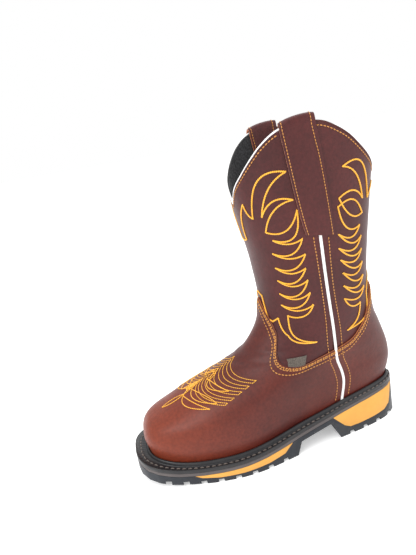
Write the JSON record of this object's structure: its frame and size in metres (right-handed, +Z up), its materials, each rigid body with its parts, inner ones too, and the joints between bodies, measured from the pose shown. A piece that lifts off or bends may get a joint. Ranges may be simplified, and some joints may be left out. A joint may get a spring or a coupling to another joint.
{
  "type": "steel toe work boot",
  "caption": "Left pull-on work boot: tall leather shaft, side straps, square steel toe, stitched storm welt, lugged rubber sole with foam inlays.",
  "frame": {"origin": "on the ground, under the centre of the boot's bounding box", "axes": "+Z up from the ground, -Y towards the toe, +X towards the outer side of the left foot"},
  "size_m": [0.1196, 0.306, 0.3484],
  "materials": {
    "black_lining": "knitted textile",
    "cap_steel": "pressed steel",
    "cork": "cork paste",
    "dark_binding": "rolled edge",
    "foam": "closed-cell foam",
    "foot_leather": "oiled pull-up leather, semi-matt",
    "footbed_cloth": "textile cover",
    "footbed_foam": "moulded foam",
    "insole_fibre": "fibreboard",
    "midsole_rubber": "moulded, matt",
    "shaft_leather": "oiled leather, semi-matt",
    "sole_foam": "expanded foam, matt",
    "sole_rubber": "moulded, satin",
    "stiffener_board": "thermoplastic board",
    "thread": "waxed thread",
    "welt_rubber": "moulded, satin",
    "white_piping": "smooth coated cord",
    "woven_tag": "woven"
  },
  "bodies": {
    "boot": {"cork_filler": "cork", "forefoot_insert": "sole_foam", "heel_cover": "foot_leather", "heel_insert": "sole_foam", "heel_lining": "black_lining", "heel_stiffener": "stiffener_board", "inner_strap_inside_leg": "shaft_leather", "inner_strap_outside_leg": "shaft_leather", "insole_board": "insole_fibre", "insole_rib": "insole_fibre", "midsole": "midsole_rubber", "outer_strap_inside_leg": "shaft_leather", "outer_strap_outside_leg": "shaft_leather", "outsole": "sole_rubber", "shaft_back": "shaft_leather", "shaft_front": "shaft_leather", "shaft_lining_back": "black_lining", "shaft_lining_front": "black_lining", "side_piping_inner": "white_piping", "side_piping_outer": "white_piping", "side_tag": "woven_tag", "steel_shank": "cap_steel", "steel_toe_cap": "cap_steel", "storm_welt": "welt_rubber", "toe_cap_edge_pad": "foam", "topline_bead_back": "dark_binding", "topline_bead_front": "white_piping", "vamp": "foot_leather", "vamp_lining": "black_lining", "welt_thread": "thread"},
    "footbed": {"footbed": "footbed_foam", "footbed_cover": "footbed_cloth"},
    "outer_loop": {"outer_pull_loop": "shaft_leather"},
    "inner_loop": {"inner_pull_loop": "shaft_leather"}
  },
  "joints": [
    {"name": "footbed_lift", "type": "slide", "parent": "boot", "child": "footbed", "axis": [0, 0, 1], "range_m": [0, 0.01]},
    {"name": "outer_loop_tilt", "type": "hinge", "parent": "boot", "child": "outer_loop", "pos_m": [0.0528, 0.05583, 0.33952], "axis": [0.0812, 0.9862, 0.1441], "range_deg": [-15, 15]},
    {"name": "inner_loop_tilt", "type": "hinge", "parent": "boot", "child": "inner_loop", "pos_m": [-0.05121, 0.05583, 0.33952], "axis": [-0.0812, 0.9862, 0.1441], "range_deg": [-15, 15]}
  ]
}
